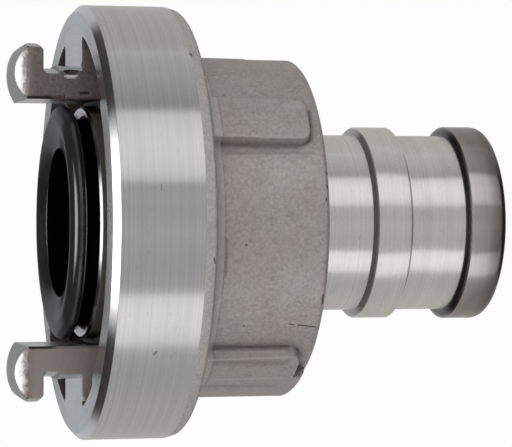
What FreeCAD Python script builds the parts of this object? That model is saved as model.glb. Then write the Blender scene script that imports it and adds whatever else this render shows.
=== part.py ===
import FreeCAD
import Part
import Sketcher
import os

# Symmetrical two-lug quarter turn hose coupling, 25 mm hose, swivelling hose tail.
# The part stands on the end of its hose tail: +Z is the axis and points to the lugs.
# Lengths are millimetres. The lugs point along +X and -X.
os.makedirs("parts", exist_ok=True)
doc = FreeCAD.newDocument("coupling")
sheet = doc.addObject("Spreadsheet::Sheet", "sizes")

# Every size is written once here. A text that starts with = is worked out from the others.
rows = [
    # axial positions, counted up from the end of the hose tail
    ("face_z", "53.9"),
    ("hub_front_z", "=face_z - 0.75"),
    ("ring_chamfer_z", "=face_z - 0.8"),
    ("bevel_end_z", "=face_z - 1.6"),
    ("lip_back_z", "=face_z - 3.6"),
    ("lip_back_drop", "=face_z - lip_back_z"),
    ("channel_floor_z", "=lip_back_z - 5.4"),
    ("band_end_z", "=channel_floor_z - 2.0"),
    ("band_cone_z", "=band_end_z - 1.2"),
    ("ring_rear_z", "=band_cone_z - 0.3"),
    ("body_rear_z", "=ring_rear_z - 15.5"),
    # radii, built up outwards from the bore: hose tail, swivel, hub, lugs, lip, ring
    ("bore_r", "9.5"),
    ("neck_r", "=bore_r + 1.87"),
    ("ridge_r", "=neck_r + 1.05"),
    ("end_ridge_r", "=neck_r + 1.21"),
    ("guide_bore_r", "=neck_r + 1.38"),
    ("tail_nose_r", "=guide_bore_r + 0.1"),
    ("hub_bore_r", "=guide_bore_r + 0.8"),
    ("hub_r", "=hub_bore_r + 1.2"),
    ("lug_flat_x", "=hub_r + 0.6"),
    ("arm_r", "=lug_flat_x + 4.1"),
    ("head_r", "=arm_r + 3.15"),
    ("lip_r", "=arm_r + 0.35"),
    ("face_inner_r", "=lip_r + 3.2"),
    ("channel_r", "=lip_r + 5.1"),
    ("ring_r", "=channel_r + 2.6"),
    ("face_outer_r", "=ring_r - 0.85"),
    ("band_cone_r", "=ring_r - 0.35"),
    ("band_rear_r", "=ring_r - 0.65"),
    ("hub_chamfer", "0.3"),
    ("hub_bore_chamfer", "0.45"),
    # cast body behind the ring
    ("body_r", "=hub_r + 6.4"),
    ("body_rear_r", "=body_r - 0.15"),
    ("neck_fillet", "3.0"),
    ("rear_round", "0.8"),
    ("guide_bore_chamfer", "0.5"),
    # swivel: running clearance, collar, groove for the snap ring
    ("running_gap", "0.05"),
    ("collar_front_z", "=face_z - 13.0"),
    ("collar_rear_z", "=collar_front_z - 5.0"),
    ("wire_half", "0.6"),
    ("snap_angle", "332"),
    ("groove_half", "=wire_half + running_gap"),
    ("groove_mid_z", "=collar_front_z + groove_half + running_gap"),
    ("groove_r", "=hub_bore_r + 0.75"),
    # lugs: arm, hooked head and nose
    ("lug_half", "6.0"),
    ("hook_z", "=face_z + 4.8"),
    ("nose_z", "=hook_z + 3.5"),
    ("nose_round", "4.82"),
    ("nose_outer_x", "=head_r + 0.6"),
    ("nose_outer_z", "=hook_z + 0.12"),
    ("nose_inner_z", "=hook_z + 1.9"),
    ("nose_flat_half", "=lug_half / 2"),
    ("bevel_drop", "1.7"),
    ("bevel_over", "0.4"),
    ("hook_fillet", "0.5"),
    ("hook_tip_round", "0.5"),
    ("arm_root_z", "=face_z + 2.6"),
    ("lug_root_x", "=hub_r - 0.55"),
    ("lug_root_z", "=channel_floor_z - 0.4"),
    ("lug_root_top_z", "=hub_front_z - 1.6"),
    ("tongue_r", "=channel_r + 0.7"),
    ("turning_clear_r", "=ring_r + 3.5"),
    ("turning_clear_z", "=nose_z + 2.0"),
    ("edge_chamfer", "0.6"),
    ("edge_chamfer_z", "=face_z + 2.0"),
    ("edge_over", "0.4"),
    ("relief_r", "1.8"),
    ("relief_offset", "1.45"),
    ("relief_angle", "41"),
    ("relief_length", "1.6"),
    ("relief_z", "=face_z + 1.3"),
    # entry slot and run-out pocket beside each lug
    ("slot_wall", "=lug_half + 12.6"),
    ("pocket_wall", "=lug_half + 7.1"),
    ("slot_r", "=channel_r - 0.85"),
    ("pocket_r", "=channel_r - 1.1"),
    ("corner_round", "0.8"),
    ("slot_inner_r", "=lip_r - 0.8"),
    ("slot_over", "1.0"),
    # ramp on the back of the lip
    ("ramp_mid", "=lip_back_drop - 0.55"),
    ("ramp_angle", "1.3"),
    ("ramp_block_height", "3.0"),
    # ribs and pad of the cast body
    ("rib_angle", "34.8"),
    ("rib_half", "3.15"),
    ("rib_corner", "1.3"),
    ("rib_taper", "4"),
    ("rib_r", "=body_r + 1.65"),
    ("rib_tip_r", "=rib_r - 0.3"),
    ("rib_foot_r", "=body_r - 0.75"),
    ("rib_over_r", "=rib_r + 1.2"),
    ("rib_root_z", "=ring_rear_z + 0.4"),
    ("rib_rear_z", "=body_rear_z + 2.1"),
    ("envelope_start_r", "=rib_r + 0.6"),
    ("envelope_start_z", "=ring_rear_z - 0.7"),
    ("envelope_floor_r", "=body_r + 0.05"),
    ("pad_half_angle", "30"),
    ("pad_inner_r", "=body_r - 0.85"),
    ("pad_outer_r", "=rib_tip_r - 0.1"),
    ("pad_rear_z", "=body_rear_z + 0.6"),
    ("gate_flat_x", "=body_rear_r - 0.22"),
    ("gate_flat_z", "=body_rear_z + 6.3"),
    ("gate_flat_half", "5.0"),
    # hose tail, heights counted up from its end
    ("tail_end_z", "0.0"),
    ("end_ridge_z", "5.1"),
    ("ridge_rear_z", "=end_ridge_z + 7.7"),
    ("ridge_front_z", "=ridge_rear_z + 4.7"),
    ("ridge_ramp", "0.35"),
    ("end_ridge_ramp", "0.25"),
    ("tail_round", "1.3"),
    ("tail_bore_chamfer", "0.4"),
    ("nose_front_z", "=face_z - 1.6"),
    ("collar_r", "=hub_bore_r - running_gap"),
    ("guide_r", "=guide_bore_r - running_gap"),
    ("guide_relief_r", "=guide_r - 0.35"),
    ("guide_rear_z", "=body_rear_z + 1.0"),
    ("guide_upper_z", "=collar_rear_z - 2.6"),
    ("guide_lower_z", "=guide_rear_z + 2.4"),
    # socket of the hose tail that holds the sealing ring
    ("socket_lip_r", "=bore_r + 1.4"),
    ("socket_groove_r", "=socket_lip_r + 0.8"),
    ("socket_groove_z", "=nose_front_z - 1.0"),
    ("socket_floor_z", "=nose_front_z - 3.6"),
    # sealing ring
    ("seal_gap", "0.05"),
    ("seal_bore_r", "=bore_r - 0.35"),
    ("seal_crest_z", "=face_z + 2.75"),
    ("seal_bore_front_z", "=seal_crest_z - 0.69"),
    ("seal_r", "=hub_r + 0.05"),
    ("seal_round", "1.3"),
    ("seal_flat_r", "=seal_r - seal_round"),
    ("seal_crest_r", "=seal_flat_r - 0.9"),
    ("seal_flange_r", "=seal_r - 0.25"),
    ("seal_neck_r", "=seal_r - 1.7"),
    ("seal_round_z", "=seal_crest_z - seal_round"),
    ("seal_edge_low_z", "=seal_round_z - 0.4"),
    ("seal_undercut_z", "=seal_edge_low_z - 0.15"),
    # corners that follow from the sizes above
    ("hub_front_outer_r", "=hub_r - hub_chamfer"),
    ("hub_outer_chamfer_z", "=hub_front_z - hub_chamfer"),
    ("hub_inner_chamfer_r", "=hub_bore_r + hub_bore_chamfer"),
    ("hub_inner_chamfer_z", "=hub_front_z - hub_bore_chamfer"),
    ("groove_top_z", "=groove_mid_z + groove_half"),
    ("groove_low_z", "=groove_mid_z - groove_half"),
    ("shoulder_z", "=collar_rear_z - running_gap"),
    ("neck_fillet_z", "=ring_rear_z - neck_fillet"),
    ("neck_fillet_r", "=body_r + neck_fillet"),
    ("rear_round_z", "=body_rear_z + rear_round"),
    ("rear_round_r", "=body_rear_r - rear_round"),
    ("guide_bore_chamfer_r", "=guide_bore_r + guide_bore_chamfer"),
    ("guide_bore_chamfer_z", "=body_rear_z + guide_bore_chamfer"),
    ("hook_fillet_r", "=arm_r + hook_fillet"),
    ("hook_fillet_z", "=hook_z - hook_fillet"),
    ("lug_width", "=2 * lug_half"),
    ("lug_flat_chamfer_x", "=lug_flat_x + edge_chamfer"),
    ("lug_side_chamfer_y", "=lug_half - edge_chamfer"),
    ("edge_cut_x", "=lug_flat_x - edge_over"),
    ("edge_cut_y", "=lug_half + edge_over"),
    ("edge_far_x", "=lug_flat_chamfer_x + edge_over"),
    ("edge_far_y", "=lug_side_chamfer_y - edge_over"),
    ("edge_cut_length", "=turning_clear_z - edge_chamfer_z"),
    ("hook_tip_r", "=head_r - hook_tip_round"),
    ("hook_tip_z", "=hook_z + hook_tip_round"),
    ("arm_root_top_z", "=arm_root_z + lip_r - arm_r"),
    ("relief_edge_x", "=sqrt(lip_r ^ 2 - lug_half ^ 2)"),
    ("relief_axis_x", "=relief_edge_x + relief_offset * sin(relief_angle * 1deg)"),
    ("relief_axis_y", "=lug_half + relief_offset * cos(relief_angle * 1deg)"),
    ("relief_back_x", "=relief_axis_x - relief_length / 2 * cos(relief_angle * 1deg)"),
    ("relief_back_y", "=relief_axis_y + relief_length / 2 * sin(relief_angle * 1deg)"),
    ("slot_depth", "=lip_back_drop + slot_over + 0.2"),
    ("slot_top_z", "=face_z + slot_over"),
    ("slot_a_x", "=sqrt(slot_inner_r ^ 2 - lug_half ^ 2)"),
    ("corner_y", "=lug_half + corner_round"),
    ("slot_b_x", "=sqrt(slot_r ^ 2 - lug_half ^ 2) - corner_round"),
    ("slot_round_x", "=sqrt(slot_r ^ 2 - corner_y ^ 2)"),
    ("slot_c_x", "=sqrt(slot_r ^ 2 - slot_wall ^ 2)"),
    ("slot_d_x", "=lug_flat_x / 4"),
    ("pocket_b_x", "=sqrt(pocket_r ^ 2 - lug_half ^ 2) - corner_round"),
    ("pocket_round_x", "=sqrt(pocket_r ^ 2 - corner_y ^ 2)"),
    ("pocket_c_x", "=sqrt(pocket_r ^ 2 - pocket_wall ^ 2)"),
    ("pocket_d_x", "=sqrt(slot_inner_r ^ 2 - pocket_wall ^ 2)"),
    ("bevel_run", "=lug_half - nose_flat_half"),
    ("bevel_top_half", "=nose_flat_half - bevel_run * bevel_over"),
    ("bevel_top_z", "=nose_z + bevel_drop * bevel_over"),
    ("bevel_outer", "=lug_half + bevel_run * bevel_over"),
    ("bevel_low_z", "=nose_z - bevel_drop * (1 + bevel_over)"),
    ("rib_height", "=rib_over_r - rib_foot_r"),
    ("rib_foot_x", "=rib_foot_r * cos(rib_angle * 1deg)"),
    ("rib_foot_y", "=rib_foot_r * sin(rib_angle * 1deg)"),
    ("rib_corner_x", "=rib_half - rib_corner"),
    ("rib_corner_z", "=rib_rear_z + rib_corner"),
    ("pad_length", "=rib_root_z - pad_rear_z"),
    ("pad_inner_x", "=pad_inner_r * cos(pad_half_angle * 1deg)"),
    ("pad_inner_y", "=pad_inner_r * sin(pad_half_angle * 1deg)"),
    ("pad_outer_x", "=pad_outer_r * cos(pad_half_angle * 1deg)"),
    ("pad_outer_y", "=pad_outer_r * sin(pad_half_angle * 1deg)"),
    ("envelope_round", "=rib_tip_r - envelope_floor_r"),
    ("envelope_low_z", "=pad_rear_z + envelope_round"),
    ("body_clear_z", "=body_rear_z - 1.0"),
    ("gate_width", "=2 * gate_flat_half"),
    ("ramp_low_z", "=lip_back_z - 1.0"),
    ("ramp_mid_z", "=face_z - ramp_mid"),
    ("ramp_block_z", "=ramp_mid_z - ramp_block_height"),
    ("ramp_block_length", "=2 * turning_clear_r"),
    ("ramp_gap_width", "=turning_clear_r - lug_half"),
    ("ramp_zone_height", "=face_z - ramp_low_z"),
    ("ramp_core_z", "=ramp_low_z - slot_over"),
    ("ramp_core_height", "=ramp_zone_height + 2 * slot_over"),
    ("tail_bore_chamfer_r", "=bore_r + tail_bore_chamfer"),
    ("tail_round_r", "=end_ridge_r - tail_round"),
    ("ridge_top_z", "=ridge_front_z - ridge_ramp"),
    ("end_ridge_top_z", "=end_ridge_z - end_ridge_ramp"),
    ("nose_chamfer_r", "=tail_nose_r - hub_chamfer"),
    ("nose_chamfer_z", "=nose_front_z - hub_chamfer"),
    ("guide_foot_r", "=guide_r - hub_chamfer"),
    ("guide_foot_z", "=guide_rear_z + hub_chamfer"),
    ("relief_upper_z", "=guide_upper_z - hub_chamfer"),
    ("relief_lower_z", "=guide_lower_z + hub_chamfer"),
    ("snap_outer_r", "=groove_r - running_gap"),
    ("snap_inner_r", "=snap_outer_r - 2 * wire_half"),
    ("snap_top_z", "=groove_mid_z + wire_half"),
    ("snap_low_z", "=groove_mid_z - wire_half"),
    ("seal_plug_r", "=socket_lip_r - seal_gap"),
    ("seal_bead_r", "=socket_groove_r - seal_gap"),
    ("seal_bead_top_z", "=socket_groove_z - seal_gap"),
    ("seal_bead_low_z", "=socket_floor_z + seal_gap"),
]
for number, (alias, text) in enumerate(rows, start=1):
    sheet.set("A" + str(number), alias)
    sheet.set("B" + str(number), text)
    sheet.setAlias("B" + str(number), alias)
doc.recompute()


def size(text):
    """The number behind a coordinate: an alias, or an alias with a minus sign."""
    sign = -1.0 if text.startswith("-") else 1.0
    return sign * float(sheet.get(text.lstrip("-")))


def bound(text):
    """The same coordinate as an expression on the sheet, without its sign."""
    return "sizes." + text.lstrip("-")


def plane(body, role):
    for feature in body.Origin.OriginFeatures:
        if feature.Role == role:
            return feature


def new_sketch(body, name, role):
    sketch = body.newObject("Sketcher::SketchObject", name)
    sketch.AttachmentSupport = (plane(body, role), [""])
    sketch.MapMode = "FlatFace"
    return sketch


def hold(sketch, geometry, end, kind, text):
    """Ties one coordinate of a corner to the sheet."""
    value = size(text)
    if value >= 0:
        rule = Sketcher.Constraint(kind, -1, 1, geometry, end, value)
    else:
        rule = Sketcher.Constraint(kind, geometry, end, -1, 1, -value)
    index = sketch.addConstraint(rule)
    sketch.setExpression("Constraints[" + str(index) + "]", bound(text))


def outline(sketch, corners):
    """A closed outline. Each corner is (across, up) or (across, up, arc radius, side).

    A radius turns the edge that leaves the corner into an arc, and side says
    on which hand of the edge the arc's centre lies: 1 is left and -1 is right."""
    first = sketch.GeometryCount
    count = len(corners)
    arcs = []
    for index in range(count):
        here = corners[index]
        there = corners[(index + 1) % count]
        start = FreeCAD.Vector(size(here[0]), size(here[1]), 0)
        end = FreeCAD.Vector(size(there[0]), size(there[1]), 0)
        if len(here) == 2:
            sketch.addGeometry(Part.LineSegment(start, end), False)
            arcs.append(0)
            continue
        chord = end.sub(start)
        half = chord.Length / 2
        radius = max(size(here[2]), half * 1.0001)
        side = here[3]
        normal = FreeCAD.Vector(-chord.y, chord.x, 0).normalize() * side
        depth = (radius ** 2 - half ** 2) ** 0.5
        centre = (start + end) * 0.5 + normal * depth
        middle = centre - normal * radius
        sketch.addGeometry(Part.Arc(start, middle, end), False)
        # FreeCAD keeps an arc anticlockwise, so one with its centre on the right is turned round
        arcs.append(side)
    for index in range(count):
        following = (index + 1) % count
        leaves = 1 if arcs[index] == -1 else 2
        enters = 2 if arcs[following] == -1 else 1
        ends = (first + index, leaves, first + following, enters)
        sketch.addConstraint(Sketcher.Constraint("Coincident", *ends))
    for index in range(count):
        begins = 2 if arcs[index] == -1 else 1
        hold(sketch, first + index, begins, "DistanceX", corners[index][0])
        hold(sketch, first + index, begins, "DistanceY", corners[index][1])
        if arcs[index]:
            rule = Sketcher.Constraint("Radius", first + index, size(corners[index][2]))
            number = sketch.addConstraint(rule)
            sketch.setExpression("Constraints[" + str(number) + "]", bound(corners[index][2]))


def turned(body, name, corners):
    """A profile in the XZ plane turned once round the axis."""
    sketch = new_sketch(body, name + "_profile", "XZ_Plane")
    outline(sketch, corners)
    turn = body.newObject("PartDesign::Revolution", name)
    turn.Profile = sketch
    turn.ReferenceAxis = (sketch, ["V_Axis"])
    turn.Angle = 360
    return turn


def turned_cut(body, name, corners):
    """The same, cut away."""
    sketch = new_sketch(body, name + "_profile", "XZ_Plane")
    outline(sketch, corners)
    cut = body.newObject("PartDesign::Groove", name)
    cut.Profile = sketch
    cut.ReferenceAxis = (sketch, ["V_Axis"])
    cut.Angle = 360
    return cut


def twice(body, name, feature):
    """The same feature again on the other side of the axis."""
    pattern = body.newObject("PartDesign::PolarPattern", name)
    pattern.Originals = [feature]
    pattern.Axis = (plane(body, "Z_Axis"), [""])
    pattern.Angle = 360
    pattern.Occurrences = 2
    body.Tip = pattern
    return pattern


# Coupling head: one casting with ring, lip, hub, lugs and the cast body behind.

head = doc.addObject("PartDesign::Body", "head_casting")
turned(head, "ring_and_hub", [
    ("hub_inner_chamfer_r", "hub_front_z"),
    ("hub_front_outer_r", "hub_front_z"),
    ("hub_r", "hub_outer_chamfer_z"),
    ("hub_r", "channel_floor_z"),
    ("channel_r", "channel_floor_z"),
    ("channel_r", "lip_back_z"),
    ("lip_r", "lip_back_z"),
    ("lip_r", "bevel_end_z"),
    ("face_inner_r", "face_z"),
    ("face_outer_r", "face_z"),
    ("ring_r", "ring_chamfer_z"),
    ("ring_r", "band_end_z"),
    ("band_cone_r", "band_cone_z"),
    ("band_rear_r", "ring_rear_z"),
    ("neck_fillet_r", "ring_rear_z", "neck_fillet", 1),
    ("body_r", "neck_fillet_z"),
    ("body_rear_r", "rear_round_z", "rear_round", -1),
    ("rear_round_r", "body_rear_z"),
    ("guide_bore_chamfer_r", "body_rear_z"),
    ("guide_bore_r", "guide_bore_chamfer_z"),
    ("guide_bore_r", "shoulder_z"),
    ("hub_bore_r", "shoulder_z"),
    ("hub_bore_r", "groove_low_z"),
    ("groove_r", "groove_low_z"),
    ("groove_r", "groove_top_z"),
    ("hub_bore_r", "groove_top_z"),
    ("hub_bore_r", "hub_inner_chamfer_z"),
])
doc.recompute()
print("ring_and_hub", head.Shape.Volume, head.Shape.isValid())


# Lugs. One profile seen from the side is padded to the lug's width and repeated on the other side.

sketch = new_sketch(head, "lug_profile", "XZ_Plane")
outline(sketch, [
    ("lug_root_x", "lug_root_z"),
    ("tongue_r", "lug_root_z"),
    ("tongue_r", "face_z"),
    ("nose_outer_x", "face_z"),
    ("nose_outer_x", "nose_outer_z", "nose_round", 1),
    ("lug_flat_x", "nose_inner_z"),
    ("lug_flat_x", "lug_root_top_z"),
    ("lug_root_x", "lug_root_top_z"),
])
lug = head.newObject("PartDesign::Pad", "lug")
lug.Profile = sketch
lug.Midplane = True
lug.setExpression("Length", "sizes.lug_width")
head.Tip = lug
doc.recompute()
twice(head, "both_lugs", lug)
doc.recompute()
print("both_lugs", head.Shape.Volume, head.Shape.isValid())

# The backs of arm and hook are turned: this leaves the hooking face and the rounded outer sides.
turned_cut(head, "hook_turning", [
    ("lip_r", "face_z"),
    ("turning_clear_r", "face_z"),
    ("turning_clear_r", "turning_clear_z"),
    ("head_r", "turning_clear_z"),
    ("head_r", "hook_tip_z", "hook_tip_round", -1),
    ("hook_tip_r", "hook_z"),
    ("hook_fillet_r", "hook_z", "hook_fillet", 1),
    ("arm_r", "hook_fillet_z"),
    ("arm_r", "arm_root_top_z"),
    ("lip_r", "arm_root_z"),
])
doc.recompute()
print("hook_turning", head.Shape.Volume, head.Shape.isValid())

# Two slanting cuts bevel the noses of both lugs, so that they find the slots.
# The bevel falls by bevel_drop from the flat's edge to the lug's side and runs on a little both ways.
sketch = new_sketch(head, "nose_bevel_profile", "YZ_Plane")
outline(sketch, [
    ("bevel_top_half", "bevel_top_z"),
    ("bevel_outer", "bevel_low_z"),
    ("bevel_outer", "bevel_top_z"),
])
outline(sketch, [
    ("-bevel_top_half", "bevel_top_z"),
    ("-bevel_outer", "bevel_top_z"),
    ("-bevel_outer", "bevel_low_z"),
])
bevel = head.newObject("PartDesign::Pocket", "nose_bevel")
bevel.Profile = sketch
bevel.Type = 1
bevel.Midplane = True
doc.recompute()
print("nose_bevel", head.Shape.Volume, head.Shape.isValid())


def plan_cut(name, corners, top, depth):
    """A cut downwards from a height, drawn in plan, made beside both lugs."""
    sketch = new_sketch(head, name + "_plan", "XY_Plane")
    sketch.setExpression("AttachmentOffset.Base.z", "sizes." + top)
    outline(sketch, corners)
    cut = head.newObject("PartDesign::Pocket", name)
    cut.Profile = sketch
    cut.setExpression("Length", "sizes." + depth)
    head.Tip = cut
    doc.recompute()
    twice(head, name + "s", cut)
    doc.recompute()
    print(name, head.Shape.Volume, head.Shape.isValid())


# Entry slot beside each lug, where the other coupling's lug goes in.
plan_cut("entry_slot", [
    ("slot_a_x", "-lug_half"),
    ("slot_d_x", "-slot_wall"),
    ("slot_c_x", "-slot_wall", "slot_r", 1),
    ("slot_round_x", "-corner_y", "corner_round", 1),
    ("slot_b_x", "-lug_half"),
], "slot_top_z", "slot_depth")
# Run-out pocket on the other side of each lug, where it stands when locked.
plan_cut("run_out_pocket", [
    ("slot_a_x", "lug_half"),
    ("pocket_b_x", "lug_half", "corner_round", 1),
    ("pocket_round_x", "corner_y", "pocket_r", 1),
    ("pocket_c_x", "pocket_wall"),
    ("pocket_d_x", "pocket_wall"),
], "slot_top_z", "slot_depth")
# Bevelled inner edge of each lug on the slot side.
plan_cut("lug_edge_chamfer", [
    ("edge_cut_x", "-edge_cut_y"),
    ("edge_far_x", "-edge_cut_y"),
    ("lug_flat_chamfer_x", "-lug_half"),
    ("lug_flat_x", "-lug_side_chamfer_y"),
    ("edge_cut_x", "-edge_far_y"),
], "turning_clear_z", "edge_cut_length")

# Cast body behind the ring: four gripping ribs and a raised pad in line with the lower lug.

# The rib is drawn flat, with its rounded rear corners, on a plane inside the wall, and padded outwards.
sketch = new_sketch(head, "rib_plan", "YZ_Plane")
rib_foot = FreeCAD.Vector(size("rib_foot_y"), 0, size("rib_foot_x"))
rib_turn = FreeCAD.Rotation(FreeCAD.Vector(0, 1, 0), size("rib_angle"))
sketch.AttachmentOffset = FreeCAD.Placement(rib_foot, rib_turn)
sketch.setExpression("AttachmentOffset.Base.x", "sizes.rib_foot_y")
sketch.setExpression("AttachmentOffset.Base.z", "sizes.rib_foot_x")
sketch.setExpression("AttachmentOffset.Rotation.Angle", "sizes.rib_angle * 1deg")
outline(sketch, [
    ("-rib_half", "rib_root_z"),
    ("-rib_half", "rib_corner_z", "rib_corner", 1),
    ("-rib_corner_x", "rib_rear_z"),
    ("rib_corner_x", "rib_rear_z", "rib_corner", 1),
    ("rib_half", "rib_corner_z"),
    ("rib_half", "rib_root_z"),
])
rib = head.newObject("PartDesign::Pad", "rib")
rib.Profile = sketch
rib.setExpression("Length", "sizes.rib_height")
rib.setExpression("TaperAngle", "-sizes.rib_taper * 1deg")
head.Tip = rib
doc.recompute()
ribs = head.newObject("PartDesign::PolarPattern", "ribs")
ribs.Originals = [rib]
ribs.Axis = (plane(head, "Z_Axis"), [""])
ribs.Angle = 360
ribs.Occurrences = 4
head.Tip = ribs
doc.recompute()
print("ribs", head.Shape.Volume, head.Shape.isValid())

sketch = new_sketch(head, "pad_section", "XY_Plane")
sketch.setExpression("AttachmentOffset.Base.z", "sizes.rib_root_z")
outline(sketch, [
    ("-pad_inner_x", "-pad_inner_y"),
    ("-pad_inner_x", "pad_inner_y"),
    ("-pad_outer_x", "pad_outer_y", "pad_outer_r", 1),
    ("-pad_outer_x", "-pad_outer_y"),
])
pad = head.newObject("PartDesign::Pad", "side_pad")
pad.Profile = sketch
pad.Reversed = True
pad.setExpression("Length", "sizes.pad_length")
doc.recompute()
print("side_pad", head.Shape.Volume, head.Shape.isValid())

turned_cut(head, "rib_envelope", [
    ("envelope_start_r", "ring_rear_z"),
    ("rib_r", "envelope_start_z"),
    ("rib_tip_r", "envelope_low_z", "envelope_round", -1),
    ("envelope_floor_r", "pad_rear_z"),
    ("envelope_floor_r", "body_clear_z"),
    ("turning_clear_r", "body_clear_z"),
    ("turning_clear_r", "ring_rear_z"),
])
doc.recompute()
print("rib_envelope", head.Shape.Volume, head.Shape.isValid())

# Flat left where the casting gate was cut off.
sketch = new_sketch(head, "gate_flat_profile", "XZ_Plane")
outline(sketch, [
    ("gate_flat_x", "body_clear_z"),
    ("rib_over_r", "body_clear_z"),
    ("rib_over_r", "gate_flat_z"),
    ("gate_flat_x", "gate_flat_z"),
])
flat = head.newObject("PartDesign::Pocket", "gate_flat")
flat.Profile = sketch
flat.Midplane = True
flat.setExpression("Length", "sizes.gate_width")
doc.recompute()
print("gate_flat", head.Shape.Volume, head.Shape.isValid())

# Ramp: the back of each half of the lip climbs from the slot to the run-out pocket.
# A tilted block, trimmed to the channel's width, is cut from the thicker end of the lip.

channel_outer = doc.addObject("Part::Cylinder", "channel_outer")
channel_outer.setExpression("Radius", "sizes.channel_r")
channel_outer.setExpression("Height", "sizes.ramp_zone_height")
channel_outer.setExpression("Placement.Base.z", "sizes.ramp_low_z")
channel_inner = doc.addObject("Part::Cylinder", "channel_inner")
channel_inner.setExpression("Radius", "sizes.hub_r")
channel_inner.setExpression("Height", "sizes.ramp_core_height")
channel_inner.setExpression("Placement.Base.z", "sizes.ramp_core_z")
channel_zone = doc.addObject("Part::Cut", "channel_zone")
channel_zone.Base = channel_outer
channel_zone.Tool = channel_inner

cutters = []
for name, side in (("near", -1), ("far", 1)):
    block = doc.addObject("Part::Box", "ramp_block_" + name)
    block.setExpression("Length", "sizes.ramp_block_length")
    block.setExpression("Width", "sizes.ramp_gap_width")
    block.setExpression("Height", "sizes.ramp_block_height")
    tilt = FreeCAD.Rotation(FreeCAD.Vector(0, 1, 0), side * size("ramp_angle"))
    block.Placement = FreeCAD.Placement(FreeCAD.Vector(0, 0, 0), tilt)
    block.setExpression("Placement.Rotation.Angle", "sizes.ramp_angle * 1deg")
    block.Placement.Rotation.Axis = FreeCAD.Vector(0, side, 0)
    block.setExpression("Placement.Base.x", "-sizes.turning_clear_r * cos(sizes.ramp_angle * 1deg)")
    rise = "sizes.turning_clear_r * sin(sizes.ramp_angle * 1deg)"
    block.setExpression("Placement.Base.z", "sizes.ramp_block_z " + ("+ " if side > 0 else "- ") + rise)
    block.setExpression("Placement.Base.y", "sizes.lug_half" if side > 0 else "-sizes.turning_clear_r")
    trimmed = doc.addObject("Part::Common", "ramp_cutter_" + name)
    trimmed.Base = channel_zone
    trimmed.Tool = block
    cutters.append(trimmed)
doc.recompute()
for cutter in cutters:
    print(cutter.Name, cutter.Shape.Volume, cutter.Shape.isValid(), cutter.Shape.BoundBox)

# Scoop milled out of each lug's root, on the outer edge of the slot side, with a round cutter.
for name, side in (("upper", 1), ("lower", -1)):
    scoop = doc.addObject("Part::Cylinder", "root_scoop_" + name)
    scoop.setExpression("Radius", "sizes.relief_r")
    scoop.setExpression("Height", "sizes.relief_length")
    lie = FreeCAD.Rotation(FreeCAD.Vector(0, 1, 0), 90)
    turn = FreeCAD.Rotation(FreeCAD.Vector(0, 0, 1), size("relief_angle") + (0 if side > 0 else 180))
    scoop.Placement = FreeCAD.Placement(FreeCAD.Vector(0, 0, 0), turn * lie)
    sign = "" if side > 0 else "-"
    scoop.setExpression("Placement.Base.x", sign + "sizes.relief_back_x")
    scoop.setExpression("Placement.Base.y", ("-" if side > 0 else "") + "sizes.relief_back_y")
    scoop.setExpression("Placement.Base.z", "sizes.relief_z")
    cutters.append(scoop)
doc.recompute()

coupling_head = head
for cutter in cutters:
    cut = doc.addObject("Part::Cut", "head_less_" + cutter.Name)
    cut.Base = coupling_head
    cut.Tool = cutter
    coupling_head = cut
doc.recompute()
print("coupling_head", coupling_head.Shape.Volume, coupling_head.Shape.isValid())

# Hose tail: turned in one piece, with socket, nose, collar, guide and two hose ridges.

tail = doc.addObject("PartDesign::Body", "tail_body")
turned(tail, "tail_turning", [
    ("socket_lip_r", "nose_front_z"),
    ("socket_lip_r", "socket_groove_z"),
    ("socket_groove_r", "socket_groove_z"),
    ("socket_groove_r", "socket_floor_z"),
    ("bore_r", "socket_floor_z"),
    ("bore_r", "tail_bore_chamfer"),
    ("tail_bore_chamfer_r", "tail_end_z"),
    ("tail_round_r", "tail_end_z", "tail_round", 1),
    ("end_ridge_r", "tail_round"),
    ("end_ridge_r", "end_ridge_top_z"),
    ("neck_r", "end_ridge_z"),
    ("neck_r", "ridge_rear_z"),
    ("ridge_r", "ridge_rear_z"),
    ("ridge_r", "ridge_top_z"),
    ("neck_r", "ridge_front_z"),
    ("neck_r", "guide_rear_z"),
    ("guide_foot_r", "guide_rear_z"),
    ("guide_r", "guide_foot_z"),
    ("guide_r", "guide_lower_z"),
    ("guide_relief_r", "relief_lower_z"),
    ("guide_relief_r", "relief_upper_z"),
    ("guide_r", "guide_upper_z"),
    ("guide_r", "collar_rear_z"),
    ("collar_r", "collar_rear_z"),
    ("collar_r", "collar_front_z"),
    ("tail_nose_r", "collar_front_z"),
    ("tail_nose_r", "nose_chamfer_z"),
    ("nose_chamfer_r", "nose_front_z"),
])
doc.recompute()
print("tail", tail.Shape.Volume, tail.Shape.isValid())

# Snap ring: square wire in the head's groove, with a gap to spring it in.
ring = doc.addObject("PartDesign::Body", "snap_body")
wire = turned(ring, "snap_wire", [
    ("snap_inner_r", "snap_low_z"),
    ("snap_outer_r", "snap_low_z"),
    ("snap_outer_r", "snap_top_z"),
    ("snap_inner_r", "snap_top_z"),
])
wire.setExpression("Angle", "sizes.snap_angle * 1deg")
doc.recompute()
print("snap_ring", ring.Shape.Volume, ring.Shape.isValid())

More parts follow.
